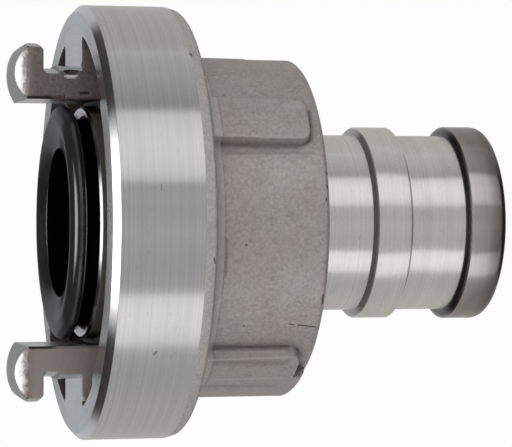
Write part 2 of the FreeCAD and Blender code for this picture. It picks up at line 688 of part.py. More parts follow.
# Sealing ring: flange with a crest in front, undercut neck, and a bead that snaps into the socket.
seal = doc.addObject("PartDesign::Body", "seal_body")
turned(seal, "seal_moulding", [
    ("seal_bore_r", "seal_bore_front_z"),
    ("seal_bore_r", "seal_bead_low_z"),
    ("seal_bead_r", "seal_bead_low_z"),
    ("seal_bead_r", "seal_bead_top_z"),
    ("seal_plug_r", "seal_bead_top_z"),
    ("seal_plug_r", "nose_front_z"),
    ("seal_neck_r", "nose_front_z"),
    ("seal_neck_r", "seal_undercut_z"),
    ("seal_flange_r", "seal_undercut_z"),
    ("seal_r", "seal_edge_low_z"),
    ("seal_r", "seal_round_z", "seal_round", 1),
    ("seal_flat_r", "seal_crest_z"),
    ("seal_crest_r", "seal_crest_z"),
])
doc.recompute()
print("seal", seal.Shape.Volume, seal.Shape.isValid())

# Nothing is written unless every object is sound.
for item in doc.Objects:
    if "Invalid" in item.State or "Error" in item.State:
        raise RuntimeError("not recomputed cleanly: " + item.Name)
nodes = {
    "coupling_head": coupling_head,
    "hose_tail": tail,
    "snap_ring": ring,
    "sealing_ring": seal,
}
for name, item in nodes.items():
    if not item.Shape.isValid() or len(item.Shape.Solids) != 1:
        raise RuntimeError("not one valid solid: " + name)
    box = item.Shape.BoundBox
    print(name, round(item.Shape.Volume, 1), "mm3, reach", box)
    item.Shape.exportStep("parts/" + name + ".step")
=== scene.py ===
# %% [markdown]
# # A quarter turn fire hose coupling
# The object is a small aluminium coupling for a 25 mm hose. Four parts make it up: a cast and
# turned head with two hooked lugs, a turned hose tail, a snap ring inside, and a black rubber
# seal. The solids come from the CAD frame. This lesson dresses them: it turns new meshes where
# softer edges are wanted, and it gives every surface the finish that its tool or mould left on
# it.

# %% Load the frame
import math

import bpy
from mathutils import Matrix, Vector


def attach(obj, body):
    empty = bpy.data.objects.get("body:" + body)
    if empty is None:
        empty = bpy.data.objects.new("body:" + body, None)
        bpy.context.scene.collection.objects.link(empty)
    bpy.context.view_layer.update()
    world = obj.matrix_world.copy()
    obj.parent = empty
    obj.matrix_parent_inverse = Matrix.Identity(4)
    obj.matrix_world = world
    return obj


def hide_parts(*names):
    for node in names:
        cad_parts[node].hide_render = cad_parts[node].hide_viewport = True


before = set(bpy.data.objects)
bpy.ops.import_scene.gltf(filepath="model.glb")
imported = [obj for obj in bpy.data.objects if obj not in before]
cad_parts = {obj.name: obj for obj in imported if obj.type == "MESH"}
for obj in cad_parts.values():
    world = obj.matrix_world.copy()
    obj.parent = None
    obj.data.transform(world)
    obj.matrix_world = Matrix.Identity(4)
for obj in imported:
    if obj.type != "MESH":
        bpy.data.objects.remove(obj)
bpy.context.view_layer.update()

# %% [markdown]
# ## Measures
# The CAD part stands on the end of its hose tail, and +Z is its axis. All its measures are
# written in millimetres here, and the scene is in metres. The ring's front face is the height
# that the other heights of the head are counted from, as on the machinist's drawing.

# %% Unit and the height of the ring's face
MM = 0.001
FACE = 53.9
print("the ring's face is", FACE, "mm above the end of the hose tail")

# %% [markdown]
# ## Small helpers for materials
# Every finish is a node tree, and so is the room. These helpers keep the cells short: a value
# that is handed to a node may be a plain number or the output of another node. The owner of a
# node is a material or the world.


# %% Node helpers
def new_material(name):
    """An empty node material with its output node."""
    material = bpy.data.materials.new(name)
    material.use_nodes = True
    material.node_tree.nodes.clear()
    material.node_tree.nodes.new("ShaderNodeOutputMaterial")
    return material


def node(owner, kind, inputs=None, **settings):
    """A node of that kind. A value in inputs is a plain value, or the output of another node."""
    tree = owner.node_tree
    made = tree.nodes.new(kind)
    for name, value in settings.items():
        setattr(made, name, value)
    for key, value in (inputs or {}).items():
        if isinstance(value, bpy.types.NodeSocket):
            tree.links.new(value, made.inputs[key])
        else:
            made.inputs[key].default_value = value
    return made


def math_node(owner, operation, first, second=0.0, third=0.0):
    """One sum, product or comparison, and its result."""
    inputs = {0: first, 1: second, 2: third}
    return node(owner, "ShaderNodeMath", inputs, operation=operation).outputs[0]


def plus(owner, first, second):
    return math_node(owner, "ADD", first, second)


def minus(owner, first, second):
    return math_node(owner, "SUBTRACT", first, second)


def times(owner, first, second):
    return math_node(owner, "MULTIPLY", first, second)


def size_of(owner, value):
    """A number without its sign."""
    return math_node(owner, "ABSOLUTE", value)


def vector_math(owner, operation, first, second=(0.0, 0.0, 0.0)):
    """The results of a sum or product of vectors: 0 is the vector and "Value" is the number."""
    inputs = {0: first, 1: second}
    return node(owner, "ShaderNodeVectorMath", inputs, operation=operation).outputs


def axes(owner, place):
    """The three coordinates of a place."""
    return node(owner, "ShaderNodeSeparateXYZ", {0: place}).outputs


def spread(owner, value, low, high, to_low, to_high):
    """Maps a range of values to another, and stops at its ends."""
    inputs = {"Value": value, "From Min": low, "From Max": high, "To Min": to_low,
              "To Max": to_high}
    return node(owner, "ShaderNodeMapRange", inputs).outputs["Result"]


print("node helpers ready")

# %% [markdown]
# Colours, patterns and the shader have helpers of their own. A pattern is read at a place on the
# object, so it turns with its piece.


# %% Helpers for colours and patterns
def blend_colour(owner, share, first, second):
    """Mixes two colours. A colour is a tuple of three or a socket."""
    mixer = node(owner, "ShaderNodeMix", data_type="RGBA")
    for index, value in ((0, share), (6, first), (7, second)):
        socket = mixer.inputs[index]
        if isinstance(value, bpy.types.NodeSocket):
            owner.node_tree.links.new(value, socket)
        else:
            socket.default_value = (*value, 1.0) if isinstance(value, tuple) else value
    return mixer.outputs[2]


def scaled(colour, share):
    """A colour made darker or lighter."""
    return tuple(share * value for value in colour)


def object_place(owner):
    """The place of a point on its own object."""
    return node(owner, "ShaderNodeTexCoord").outputs["Object"]


def noise(owner, place, scale, detail=2.0, roughness=0.5):
    """Cloudy noise between 0 and 1, read at a place. Scale is in waves per metre."""
    inputs = {"Vector": place, "Scale": scale, "Detail": detail, "Roughness": roughness}
    return node(owner, "ShaderNodeTexNoise", inputs).outputs[0]


def lines(owner, across, per_millimetre, detail=1.0):
    """Noise along one measure only, so that it draws lines across it."""
    where = times(owner, across, per_millimetre / MM)
    inputs = {"W": where, "Scale": 1.0, "Detail": detail}
    return node(owner, "ShaderNodeTexNoise", inputs, noise_dimensions="1D").outputs[0]


def ramp(owner, value, stops):
    """A colour ramp. Each stop is a place between 0 and 1 with a grey or a colour."""
    made = node(owner, "ShaderNodeValToRGB", {0: value})
    elements = made.color_ramp.elements
    for index, (place, colour) in enumerate(stops):
        element = elements[index] if index < 2 else elements.new(place)
        element.position = place
        rgb = colour if isinstance(colour, tuple) else (colour, colour, colour)
        element.color = (*rgb, 1.0)
    return made.outputs[0]


def bumped(owner, height, strength, distance, normal=None):
    """A normal that follows small heights. Distance is in millimetres."""
    inputs = {"Strength": strength, "Distance": distance * MM, "Height": height}
    if normal is not None:
        inputs["Normal"] = normal
    return node(owner, "ShaderNodeBump", inputs).outputs[0]


SOCKETS = {
    "colour": "Base Color", "metallic": "Metallic", "roughness": "Roughness", "normal": "Normal",
    "specular": "Specular IOR Level", "anisotropic": "Anisotropic", "turn": "Anisotropic Rotation",
    "tangent": "Tangent", "coat": "Coat Weight", "coat_roughness": "Coat Roughness",
    "coat_ior": "Coat IOR",
}


def shade(material, **values):
    """The principled shader, tied to the material's output."""
    inputs = {SOCKETS[key]: value for key, value in values.items()}
    shader = node(material, "ShaderNodeBsdfPrincipled", inputs)
    tie_to_output(material, shader.outputs[0])


def tie_to_output(material, surface):
    output = next(n for n in material.node_tree.nodes if n.type == "OUTPUT_MATERIAL")
    material.node_tree.links.new(surface, output.inputs["Surface"])


print("pattern helpers ready")

# %% [markdown]
# ## Marks of use
# A pit, a scratch or a line of dirt is a soft stroke between two places on the surface. The
# strokes could be painted in a picture, but a few places in numbers are smaller, they need no
# unwrapping, and they stay sharp at any distance.


# %% Marks and bands
def mark(owner, place, start, end, width):
    """1 on a short scratch or in a pit, and 0 away from it. Its ends are places in millimetres."""
    first, last = Vector(start) * MM, Vector(end) * MM
    run = last - first
    from_first = vector_math(owner, "SUBTRACT", place, first)[0]
    along = vector_math(owner, "DOT_PRODUCT", from_first, run)["Value"]
    share = spread(owner, along, 0.0, run.length_squared, 0.0, 1.0)
    nearest = node(owner, "ShaderNodeVectorMath", {0: run, 3: share}, operation="SCALE").outputs[0]
    gap = vector_math(owner, "DISTANCE", from_first, nearest)["Value"]
    return spread(owner, gap, 0.15 * width * MM, width * MM, 1.0, 0.0)


def paint_marks(owner, place, colour, marks, paint):
    """Paints marks of (start, end, width, strength) over a colour."""
    for start, end, width, strength in marks:
        share = times(owner, mark(owner, place, start, end, width), strength)
        colour = blend_colour(owner, share, colour, paint)
    return colour


def deepest_mark(owner, place, marks, depth=0.0):
    """The deepest of the marks of (start, end, width, strength) at a place."""
    for start, end, width, strength in marks:
        stroke = times(owner, mark(owner, place, start, end, width), strength)
        depth = math_node(owner, "MAXIMUM", depth, stroke)
    return depth


def band(owner, up, middle, inner, outer, share):
    """A share that is full within so many millimetres of a height, and fades out at another."""
    off = size_of(owner, minus(owner, up, middle * MM))
    return spread(owner, off, inner * MM, outer * MM, share, 0.0)


print("marks ready")

# %% [markdown]
# ## Turned aluminium
# A lathe leaves fine lines round the work. They do two things to the light: the eye sees lines,
# and the gloss is smeared along the axis but stays sharp round the curve, which gives the crisp
# bright bands. The lines could be modelled, but at a third of a millimetre they are a matter for
# bump and tone. The smear is the shader's anisotropy, with a tangent that runs round the axis.

# %% The place of a point, and the direction round the axis
CONE_STEP = 1.37


def turned_place(owner):
    """The object place, a measure that grows along any turned surface, the direction round the
    axis, and the height."""
    place = object_place(owner)
    parts = axes(owner, place)
    flat = node(owner, "ShaderNodeCombineXYZ", {0: parts[0], 1: parts[1]}).outputs[0]
    radius = vector_math(owner, "LENGTH", flat)["Value"]
    along = math_node(owner, "MULTIPLY_ADD", radius, CONE_STEP, parts[2])
    round_axis = vector_math(owner, "CROSS_PRODUCT", (0.0, 0.0, 1.0), place)[0]
    to_world = node(owner, "ShaderNodeVectorTransform", {0: round_axis}, vector_type="VECTOR",
                    convert_from="OBJECT", convert_to="WORLD").outputs[0]
    return place, along, to_world, parts[2]


print("places on turned metal ready")

# %% [markdown]
# The end of the hose tail is browned, as if it had been hot, most of all at its rim and at its
# two sides. The brown wanders with the clouds of the stain, so that it has no drawn border, and
# it lies on bare metal, so it is a tint of the metal and not a paint.

# %% Browned end
BURN_WANDER = 1.6
BURN_FADE = (-3.8, 1.2)
BURN_LEAST = 0.3
BURN_SIDES = (6.5, 11.0)
SCORCH = (1.0, 3.4)


def burn(owner, place, up, cloud, colour, top, tint):
    """Browns the metal below a height in millimetres. Returns the colour and the browned share."""
    wander = math_node(owner, "MULTIPLY_ADD", cloud, BURN_WANDER * MM, up)
    full, least = ((top + step) * MM for step in BURN_FADE)
    share = spread(owner, wander, full, least, 1.0, BURN_LEAST)
    sideways = size_of(owner, axes(owner, place)[0])
    near, far = (step * MM for step in BURN_SIDES)
    share = plus(owner, share, spread(owner, sideways, near, far, 0.0, 0.5))
    below = math_node(owner, "LESS_THAN", up, top * MM)
    burnt = math_node(owner, "MINIMUM", times(owner, share, below), 1.0)
    colour = blend_colour(owner, burnt, colour, tint)
    black, clear = (step * MM for step in SCORCH)
    scorched = spread(owner, wander, black, clear, 0.85, 0.0)
    return blend_colour(owner, scorched, colour, scaled(tint, 0.28)), burnt


print("browning ready")

# %% [markdown]
# One function makes all the turned finishes. They differ in how bright the cut is, in how much
# stain lies on it, and in what happened to it later.

# %% Turned metal
FINE_LINES, BROAD_LINES = 2.6, 0.55
FINE_SHARE = 0.72
STAIN_TONE = 0.72
GROOVE_SHADE = (0.02, 0.018, 0.016)
GROOVE_EDGE = 0.05
STRUCK = (0.06, 0.055, 0.05)
POLISH = 0.09


def turned_aluminium(name, light, dark, roughness, stain=0.15, scars=(), metallic=1.0, grooves=(),
                     burnt_below=None):
    """Bright aluminium with fine lathe lines, faint stains, scars where something struck it, and
    painted shade in grooves of (lowest, highest, share), in millimetres of height."""
    material = new_material(name)
    place, along, round_axis, up = turned_place(material)
    fine = lines(material, along, FINE_LINES, 2.0)
    broad = lines(material, along, BROAD_LINES, 1.0)
    cloud = noise(material, place, 160.0, 3.0, 0.6)
    grit = noise(material, place, 1400.0, 2.0, 0.6)
    tone = plus(material, times(material, fine, FINE_SHARE),
                times(material, broad, 1.0 - FINE_SHARE))
    colour = blend_colour(material, spread(material, tone, 0.32, 0.68, 0.0, 1.0), dark, light)
    stained = scaled(dark, STAIN_TONE)
    for pattern, low, share in ((cloud, 0.55, stain), (grit, 0.62, 0.3 + 0.6 * stain)):
        share = spread(material, pattern, low, 0.8, 0.0, share)
        colour = blend_colour(material, share, colour, stained)
    smooth = plus(material, fine, cloud)
    rough = spread(material, smooth, 0.7, 1.3, roughness - 0.04, roughness + 0.05)
    if burnt_below is not None:
        colour, burnt = burn(material, place, up, cloud, colour, *burnt_below)
        metallic = spread(material, burnt, 0.0, 0.6, metallic, 1.0)
        rough = minus(material, rough, times(material, burnt, POLISH))
    # Painted shade: a dark band in each groove, where the foot of the step lies in shadow.
    for lowest, highest, share in grooves:
        middle, half = (highest + lowest) / 2, (highest - lowest) / 2
        darkening = band(material, up, middle, half - GROOVE_EDGE, half + GROOVE_EDGE, share)
        colour = blend_colour(material, darkening, colour, GROOVE_SHADE)
    dent = deepest_mark(material, place, scars)
    if scars:
        colour = blend_colour(material, times(material, dent, 0.6), colour, STRUCK)
    edge = node(material, "ShaderNodeBevel", {"Radius": 0.12 * MM}, samples=4).outputs[0]
    normal = bumped(material, minus(material, fine, dent), 0.05, 0.05, edge)
    shade(material, colour=colour, metallic=metallic, roughness=rough, normal=normal,
          anisotropic=0.92, turn=0.25, tangent=round_axis)
    print("material", name, "with", len(material.node_tree.nodes), "nodes")
    return material


# %% The four turned finishes
REAR_PIT = ((20.33, -18.49, 42.85), (20.18, -18.60, 42.80), 0.34, 1.0)
RING_SCARS = [
    REAR_PIT,
    ((-15.58, -22.65, 48.16), (-15.3, -22.8, 48.0), 0.26, 1.0),
    ((4.49, -27.13, 48.26), (3.79, -27.23, 48.29), 0.07, 1.0),
]
TAIL_GROOVES = [(4.90, 5.30, 0.9), (12.30, 12.60, 0.6), (17.20, 17.55, 0.55)]
ring_metal = turned_aluminium(
    "turned_ring", (0.71, 0.70, 0.705), (0.62, 0.61, 0.615), 0.20, scars=RING_SCARS)
face_metal = turned_aluminium(
    "turned_face", (0.50, 0.503, 0.512), (0.375, 0.378, 0.388), 0.21, stain=0.5)
tail_metal = turned_aluminium(
    "turned_tail", (0.86, 0.84, 0.81), (0.75, 0.73, 0.70), 0.24, stain=0.3, metallic=0.9,
    grooves=TAIL_GROOVES, burnt_below=(5.15, (0.33, 0.30, 0.285)))
# Painted shade: the bore inside the head is a dark copy of the turned metal, for it lies in shade.
shaded_bore_metal = turned_aluminium("turned_bore_in_shade", (0.25, 0.24, 0.23), (0.17, 0.165, 0.155), 0.40)

# %% [markdown]
# ## Cast aluminium
# The body and the lugs keep the skin of the mould: a matte, slightly pink and brown grey, with a
# fine grain, cloudy patches, and here and there a dark pore. The corners get painted shade, and
# the edges that stand out get a painted pale highlight. Occlusion finds the corners and a rounded
# normal finds the edges, whichever way the piece is turned.


# %% Grain, pores, corners and edges of a casting
def cast_grain(owner, place, grey, pink, fleck):
    """The colour of the mould's skin, its large patches, and the height of its grains."""
    patches = noise(owner, place, 110.0, 2.0, 0.5)
    mottle = noise(owner, place, 620.0, 3.0, 0.6)
    speckle = noise(owner, place, 2500.0, 2.0, 0.7)
    sand = noise(owner, place, 5200.0, 2.0, 0.6)
    pale, dull = scaled(grey, 1.35), scaled(grey, 0.66)
    colour = blend_colour(owner, spread(owner, patches, 0.35, 0.65, 0.0, 1.0), grey, pink)
    flecked = blend_colour(owner, spread(owner, speckle, 0.3, 0.7, 0.0, 1.0), dull, pale)
    colour = blend_colour(owner, fleck, colour, flecked)
    clouded = blend_colour(owner, spread(owner, mottle, 0.35, 0.65, 0.0, 1.0), dull, pale)
    return blend_colour(owner, 0.13, colour, clouded), patches, plus(owner, sand, speckle)


PORE_CELLS = 420.0
PORE_CHANCE = 0.07
PORE_REACH = 0.14


def pores_and_scars(owner, place, pores, scars):
    """The depth of pores, one in a few of many small cells, and of scars at given places."""
    cells = node(owner, "ShaderNodeTexVoronoi", {"Vector": place, "Scale": PORE_CELLS}).outputs
    chance = node(owner, "ShaderNodeSeparateColor", {0: cells["Color"]}).outputs[0]
    chosen = math_node(owner, "GREATER_THAN", chance, 1.0 - PORE_CHANCE)
    near = math_node(owner, "LESS_THAN", cells["Distance"], PORE_REACH)
    depth = times(owner, times(owner, chosen, near), 0.75 * pores)
    return deepest_mark(owner, place, scars, depth)


def occlusion(owner, reach):
    """1 on open ground and 0 in a corner, within a reach in millimetres."""
    inputs = {"Distance": reach * MM}
    return node(owner, "ShaderNodeAmbientOcclusion", inputs, samples=8).outputs["AO"]


def corners_and_edges(owner, colour, shade_colour, pale):
    """Painted shade in corners and creases, and a painted highlight on edges. Returns the colour
    and a rounded normal.
    """
    # Painted shade: the colour darkens where occlusion finds a corner or a crease.
    corner = spread(owner, occlusion(owner, 2.2), 0.42, 0.92, 1.0, 0.0)
    colour = blend_colour(owner, corner, colour, shade_colour)
    open_ground = occlusion(owner, 0.7)
    crease = spread(owner, open_ground, 0.45, 0.85, 0.85, 0.0)
    colour = blend_colour(owner, crease, colour, shade_colour)
    edge = node(owner, "ShaderNodeBevel", {"Radius": 0.4 * MM}, samples=8).outputs[0]
    plain = node(owner, "ShaderNodeNewGeometry").outputs["Normal"]
    # Painted highlight: an edge in the open, where the rounded normal turns from the plain one, is
    # painted pale.
    turn = vector_math(owner, "DOT_PRODUCT", edge, plain)["Value"]
    paled = times(owner, spread(owner, turn, 0.90, 0.995, 0.45, 0.0),
                   spread(owner, open_ground, 0.75, 0.95, 0.0, 1.0))
    return blend_colour(owner, paled, colour, pale), edge


# %% Cast skin
def cast_aluminium(name, grey, pink, shade_colour, grain=0.35, pores=0.5, gloss=0.55, fleck=0.5,
                   scars=(), darkening=(), wear_and_light=None):
    """Sand grey metal with grain, pores, dark streaks, painted shade in its corners and a painted
    highlight on its edges. Wear and painted light are painted over it last.
    """
    material = new_material(name)
    place = object_place(material)
    colour, patches, grains = cast_grain(material, place, grey, pink, fleck)
    pore = pores_and_scars(material, place, pores, scars)
    colour = blend_colour(material, pore, colour, scaled(shade_colour, 0.35))
    colour = paint_marks(material, place, colour, darkening, shade_colour)
    colour, edge = corners_and_edges(material, colour, shade_colour, scaled(grey, 1.35))
    if wear_and_light:
        colour = wear_and_light(material, place, colour)
    height = minus(material, grains, times(material, pore, 3.0))
    rough = spread(material, patches, 0.3, 0.7, gloss - 0.04, gloss + 0.08)
    shade(material, colour=colour, metallic=0.55, roughness=rough,
          normal=bumped(material, height, grain, 0.08, edge))
    print("material", name, "with", len(material.node_tree.nodes), "nodes")
    return material


# %% [markdown]
# ## Wear and painted light on the lugs
# The lugs slide under the lip of the other coupling each time, so their noses and bevels are
# bright. The highlight of each bevel is painted to fade to brown towards the lug's side, and it
# ends in a dark ragged border. The lower lug is painted paler than the other, as if lit more. A
# painted dark line of shade runs along the inner edge of each, and a few painted glints stand for
# highlights.

# %% Wear and painted light on lugs and bevels
NOSE_HEIGHT = 62.2
BEVEL_FOOT = 60.5
LUG_INNER = 15.35
PALE = (0.27, 0.235, 0.225)
LOWER_LUG_LIGHT = (0.44, 0.38, 0.36)
EDGE_SHADE = (0.012, 0.012, 0.014)
GLINT = (0.85, 0.80, 0.77)
DARK_BORDER = (0.05, 0.04, 0.038)
# Painted highlights where the scoop and the end of a pocket would mirror the light.
LUG_GLINTS = [
    ((18.20, -6.0, 56.05), (18.22, -6.0, 54.50), 0.17, 1.0),
    ((18.14, -6.0, 55.60), (18.14, -6.0, 54.85), 0.34, 1.0),
    ((-21.9, -6.0, 53.7), (-22.4, -6.0, 53.7), 0.35, 1.0),
]


def ragged_height(owner, place, scale, wander):
    """The height of a place, pushed up and down by so many millimetres of noise."""
    cloud = noise(owner, place, scale, 3.0, 0.7)
    return math_node(owner, "MULTIPLY_ADD", cloud, wander * MM, axes(owner, place)[2])


def above_foot(owner, ragged, low, high, to_low, to_high):
    """Spreads a share over a range of millimetres above the foot of the bevel."""
    return spread(owner, ragged, (BEVEL_FOOT + low) * MM, (BEVEL_FOOT + high) * MM, to_low, to_high)


def lug_wear_and_light(owner, place, colour):
    """Worn pale near the nose, painted glints, a painted line of shade along the inner edge, and
    the lower lug painted paler as if lit more.
    """
    parts = axes(owner, place)
    # Painted light: the lower lug is made paler, as if lit more.
    lower = spread(owner, parts[0], -1.0 * MM, 1.0 * MM, 0.7, 0.0)
    colour = blend_colour(owner, lower, colour, LOWER_LUG_LIGHT)
    ragged = ragged_height(owner, place, 900.0, 1.5)
    paled = above_foot(owner, ragged, -0.25, 0.75, 0.0, 0.75)
    colour = blend_colour(owner, paled, colour, PALE)
    # Painted highlights: a few glints.
    colour = paint_marks(owner, place, colour, LUG_GLINTS, GLINT)
    # Painted shade: a dark line along the inner edge, strongest towards the nose.
    across = size_of(owner, parts[0])
    line = spread(owner, across, (LUG_INNER + 0.28) * MM, (LUG_INNER + 0.40) * MM, 0.92, 0.0)
    towards_nose = spread(owner, parts[2], 56.9 * MM, 57.8 * MM, 0.25, 1.0)
    return blend_colour(owner, times(owner, line, towards_nose), colour, EDGE_SHADE)


def bevel_highlight_fade(owner, place, colour):
    """A painted highlight, palest at the nose, that fades to brown towards the lug's side and ends
    in a dark ragged border.
    """
    ragged = ragged_height(owner, place, 1300.0, 1.4)
    browned = above_foot(owner, ragged, 1.0, 2.0, 1.0, 0.0)
    colour = blend_colour(owner, browned, colour, PALE)
    darkened = above_foot(owner, ragged, 0.75, 1.45, 1.0, 0.0)
    return blend_colour(owner, darkened, colour, DARK_BORDER)


print("wear on the lugs ready")

# %% [markdown]
# ## Marks, painted shade and painted highlights on the body
# Behind the ring a paler strip is painted on the fillet as its highlight, and it ends in a thin
# dark line. Dark streaks lie along the axis at the feet and walls of the ribs, partly dirt and
# partly painted shade, beside painted highlights on lit edges and faces, and there are nicks in the
# rear edge and one long scratch.

# %% Marks, painted shade and painted highlights on body and cone
BODY_SCARS = [
    ((6.03, -19.93, 26.21), (5.9, -19.96, 26.2), 0.20, 0.85),
    ((4.44, -20.34, 26.20), (4.2, -20.40, 26.2), 0.22, 0.85),
    ((2.85, -20.76, 26.44), (2.7, -20.8, 26.4), 0.18, 0.85),
    ((-12.60, -16.86, 28.90), (-12.85, -16.60, 26.79), 0.15, 0.85),
    ((-12.44, -16.96, 30.07), (-12.55, -16.88, 29.50), 0.10, 0.85),
    ((-2.71, -20.94, 36.50), (-2.71, -20.94, 36.45), 0.18, 0.85),
    ((-12.62, -16.92, 35.87), (-12.62, -16.92, 35.80), 0.15, 0.85),
    ((-8.86, -18.91, 26.30), (-9.85, -18.41, 26.28), 0.22, 0.85),
]
# Partly dirt and partly painted shade: the lines at the ribs' ends and walls and the wide bands on
# the lower rib stand for shade.
BODY_DIRT_AND_SHADE = [
    ((13.62, -15.99, 27.31), (11.84, -17.35, 27.56), 0.34, 0.60),
    ((11.84, -17.35, 27.56), (9.96, -18.50, 27.88), 0.38, 0.60),
    ((15.16, -16.67, 29.36), (15.03, -14.67, 27.79), 0.22, 0.60),
    ((-2.10, -21.11, 39.01), (-4.26, -20.76, 38.93), 0.26, 0.45),
    ((-4.26, -20.76, 38.93), (-6.32, -20.23, 38.93), 0.28, 0.45),
    ((-15.12, -14.88, 39.02), (-15.32, -14.50, 34.38), 0.30, 0.50),
    ((-15.32, -14.50, 34.38), (-15.26, -14.48, 29.66), 0.30, 0.50),
    ((-17.42, -11.73, 27.38), (-19.33, -11.16, 27.35), 0.20, 0.50),
    ((-17.20, -14.90, 39.41), (-17.36, -14.38, 30.02), 0.90, 0.30),
    ((8.39, -19.44, 38.74), (8.47, -19.22, 27.60), 0.32, 0.25),
    ((-20.40, -9.23, 38.21), (-20.55, -8.90, 30.38), 1.10, 0.20),
]
# Painted highlights on the lit edges and faces of the ribs.
BODY_HIGHLIGHTS = [
    ((-19.49, -11.74, 38.79), (-19.40, -11.48, 29.63), 0.26, 0.50),
    ((14.25, -17.49, 30.34), (14.27, -17.43, 28.80), 0.90, 0.35),
    ((-15.86, -14.77, 39.00), (-15.98, -14.84, 30.02), 0.30, 0.40),
]
CONE_SCARS = [((-4.29, -26.85, 41.85), (-4.76, -26.73, 41.70), 0.2, 0.85), (*REAR_PIT[:3], 0.85)]
LUG_SCARS = [((16.12, -6.0, 54.0), (16.13, -6.0, 53.1), 0.3, 0.85)]
BODY_HIGHLIGHT, FILLET_HIGHLIGHT = (0.60, 0.57, 0.55), (0.62, 0.60, 0.58)
STRIP_HEIGHT, STRIP_END = 39.72, 39.12
CONE_EDGE = (41.60, 41.78)


def body_light_and_shade(owner, place, colour):
    """Painted highlights on edges and faces, and a painted highlight on the fillet behind the ring
    with a thin dark line at its end.
    """
    colour = paint_marks(owner, place, colour, BODY_HIGHLIGHTS, BODY_HIGHLIGHT)
    up = axes(owner, place)[2]
    # Painted highlight on the fillet behind the ring, and a thin dark line at its end.
    strip = band(owner, up, STRIP_HEIGHT, 0.35, 0.52, 0.35)
    colour = blend_colour(owner, strip, colour, FILLET_HIGHLIGHT)
    line = band(owner, up, STRIP_END, 0.02, 0.14, 0.22)
    return blend_colour(owner, line, colour, (0.10, 0.08, 0.07))


def cone_edge_shade(owner, place, colour):
    """Painted shade: a dark line along the rear edge of the ring, where its chamfer faces down."""
    dark, clear = (step * MM for step in CONE_EDGE)
    line = spread(owner, axes(owner, place)[2], dark, clear, 0.30, 0.0)
    return blend_colour(owner, line, colour, (0.10, 0.09, 0.08))


# The streaks counted here are dirt and painted shade, and the rubs are painted highlights.
print(len(BODY_SCARS), "scars,", len(BODY_DIRT_AND_SHADE), "streaks of dirt and", len(BODY_HIGHLIGHTS), "rubs")

# %% [markdown]
# The castings share one skin, and its colours are what differs. The lugs are dark and brown, the
# hub is darker still as painted shade, since it lies in the shade of the channel and the lugs, the
# cone behind the ring is paler than the body, and the worn noses and bevels are nearly bare metal.

# %% The six cast finishes
body_skin = cast_aluminium(
    "cast_body", (0.43, 0.40, 0.38), (0.43, 0.362, 0.345), (0.09, 0.068, 0.062), grain=0.5,
    pores=0.3, gloss=0.46, scars=BODY_SCARS, darkening=BODY_DIRT_AND_SHADE, wear_and_light=body_light_and_shade)
cone_skin = cast_aluminium(
    "cast_cone", (0.52, 0.50, 0.48), (0.52, 0.49, 0.47), (0.22, 0.20, 0.18), grain=0.25,
    pores=0.2, scars=CONE_SCARS, wear_and_light=cone_edge_shade)
lug_skin = cast_aluminium(
    "cast_lugs", (0.20, 0.172, 0.165), (0.21, 0.172, 0.162), (0.05, 0.04, 0.036), fleck=0.9,
    scars=LUG_SCARS, wear_and_light=lug_wear_and_light)
# Painted shade: the hub's skin is a darker copy of the cast skin, for the hub lies in shade.
shaded_hub_skin = cast_aluminium(
    "cast_hub_in_shade", (0.13, 0.115, 0.10), (0.12, 0.10, 0.09), (0.035, 0.028, 0.025))
nose_skin = cast_aluminium(
    "rubbed_noses", (0.32, 0.32, 0.315), (0.32, 0.31, 0.305), (0.15, 0.13, 0.12), grain=0.15,
    pores=0.0, gloss=0.42)
bevel_skin = cast_aluminium(
    "rubbed_bevels", (0.74, 0.735, 0.72), (0.71, 0.69, 0.68), (0.4, 0.35, 0.33), grain=0.25,
    pores=0.0, gloss=0.36, wear_and_light=bevel_highlight_fade)

# %% [markdown]
# ## Black rubber and spring steel
# The seal is moulded rubber, nearly black and matte, with a faint bloom and a thin smooth skin.
# The skin is a coat over a body that does not shine at all: seen at a low angle, a plain glossy
# black would mirror the white room and turn grey. Inside its bore and behind its flange the
# rubber is painted shade: a near black copy without the coat, so those places stay black. The
# snap ring is hardly seen: dark grey spring steel with a film of grease.


# %% Rubber and spring steel
def seal_rubber(name, dark, dusty, coat):
    """Rubber with a dusty bloom under a thin smooth skin."""
    material = new_material(name)
    place = object_place(material)
    bloom = noise(material, place, 220.0, 3.0, 0.6)
    skin = noise(material, place, 2600.0, 2.0, 0.5)
    dust = spread(material, bloom, 0.35, 0.7, 0.0, 1.0)
    rough = spread(material, bloom, 0.3, 0.7, 0.5, 0.62)
    shade(material, colour=blend_colour(material, dust, dark, dusty), roughness=rough,
          normal=bumped(material, skin, 0.12, 0.03), specular=0.0, coat=coat, coat_roughness=0.14,
          coat_ior=2.4)
    return material


def spring_steel(name, bare, greased):
    """Dark steel under a film of grease that is thicker in some places."""
    material = new_material(name)
    film = noise(material, object_place(material), 400.0, 3.0, 0.6)
    colour = blend_colour(material, spread(material, film, 0.35, 0.7, 0.0, 1.0), bare, greased)
    rough = spread(material, film, 0.3, 0.7, 0.25, 0.45)
    shade(material, colour=colour, metallic=1.0, roughness=rough)
    return material


rubber = seal_rubber("moulded_rubber", (0.015, 0.015, 0.0152), (0.030, 0.028, 0.0285), 0.36)
# Painted shade: a near black rubber without its coat, for the bore and the gap behind the flange.
shaded_rubber = seal_rubber("rubber_in_shade", (0.0008, 0.0008, 0.0008), (0.002, 0.002, 0.002), 0.0)
steel = spring_steel("greased_spring_steel", (0.33, 0.32, 0.31), (0.18, 0.165, 0.15))
print("rubber and steel ready")

# %% [markdown]
# ## Dressing the head
# The head is one casting, and its CAD mesh is kept as it is. The lathe touched only some of its
# faces, so each face is given the finish of its tool: it is sorted by its radius, its distance
# below the ring's face and the way that it points. Rubbing has polished the noses of the lugs.

